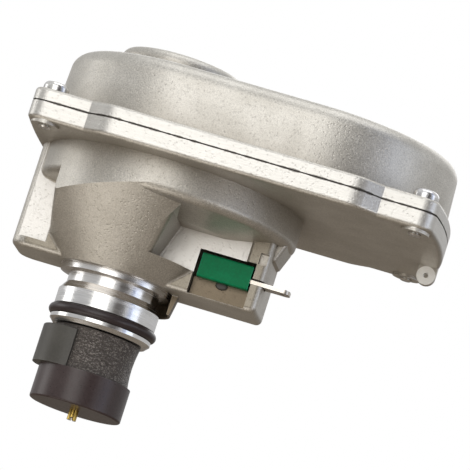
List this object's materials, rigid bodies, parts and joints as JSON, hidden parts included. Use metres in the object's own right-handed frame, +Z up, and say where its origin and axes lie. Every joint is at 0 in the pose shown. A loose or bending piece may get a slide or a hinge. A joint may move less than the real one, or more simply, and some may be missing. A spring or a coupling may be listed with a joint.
{
  "type": "motorized valve actuator",
  "caption": "Plug-in quarter-turn valve actuator: cast aluminium gear housing and cover, O-ring sealed spigot, rotating drive coupling and spring-return release blade.",
  "frame": {"origin": "centre of the spigot at the underside of the gear housing, where the seat face is", "axes": "+Z up along the output axis, away from the valve; +X along the body towards the motor end; +Y towards the back, so the release blade's guide faces -Y"},
  "size_m": [0.1334, 0.1026, 0.1182],
  "materials": {
    "cast_aluminium": "bead-blasted raw casting",
    "turned_aluminium": "turned and polished",
    "black_rubber": "semi-gloss rubber",
    "bronze": "sintered bronze",
    "gasket_sheet": "compressed sheet",
    "plated_screw": "bright zinc plate",
    "motor_steel": "drawn steel can",
    "gear_steel": "cut steel",
    "blade_steel": "stamped spring steel",
    "green_plastic": "glossy moulding",
    "dark_plastic": "smooth moulding",
    "grained_plastic": "coarse grained moulding",
    "drum_plastic": "satin moulding",
    "board_laminate": "lacquered laminate",
    "brass": "machined brass"
  },
  "bodies": {
    "root": {"gear_housing": "cast_aluminium", "cover": "cast_aluminium", "spigot": "turned_aluminium", "spigot_oring": "black_rubber", "output_lower_bush": "bronze", "spigot_bush": "bronze", "shaft_seal": "black_rubber", "cover_gasket": "gasket_sheet", "cover_bush": "bronze", "cover_screws": "plated_screw", "motor_bracket": "gear_steel", "bracket_screws": "plated_screw", "motor_can": "motor_steel", "idler_axle": "gear_steel", "idler_washers": "bronze", "release_guide": "green_plastic", "guide_foot": "cast_aluminium", "control_board": "board_laminate", "board_standoffs": "plated_screw", "board_screws": "plated_screw", "terminal_block": "green_plastic", "board_capacitors": "turned_aluminium", "board_chips": "dark_plastic", "position_sensor": "dark_plastic", "release_spring": "blade_steel"},
    "output": {"output_shaft": "gear_steel", "output_gear": "gear_steel", "gear_key": "gear_steel", "retaining_ring": "gear_steel", "coupling_core": "grained_plastic", "coupling_pad": "dark_plastic", "coupling_drum": "drum_plastic", "drive_pin": "brass", "sensor_magnet": "dark_plastic"},
    "idler": {"idler_pinion": "gear_steel", "idler_wheel": "gear_steel"},
    "rotor": {"motor_shaft": "gear_steel", "motor_pinion": "brass"},
    "release": {"release_blade": "blade_steel"}
  },
  "joints": [
    {"name": "output_turn", "type": "hinge", "parent": "root", "child": "output", "pos_m": [0, 0, 0], "axis": [0, 0, 1], "range_deg": [0, 90]},
    {"name": "idler_spin", "type": "hinge", "parent": "root", "child": "idler", "pos_m": [0.035, 0, 0], "axis": [0, 0, 1], "range_deg": [-303.75, 0]},
    {"name": "motor_spin", "type": "hinge", "parent": "root", "child": "rotor", "pos_m": [0.065, 0, 0], "axis": [0, 0, 1], "range_deg": [0, 1215]},
    {"name": "release_push", "type": "slide", "parent": "root", "child": "release", "axis": [-1, 0, 0], "range_m": [0, 0.005], "stiffness_N_per_m": 300, "springref_m": -0.002, "deforming": ["release_spring"]}
  ],
  "couplings": [
    {"joint": "idler_spin", "follows": "output_turn", "ratio": -3.375},
    {"joint": "motor_spin", "follows": "output_turn", "ratio": 13.5}
  ]
}
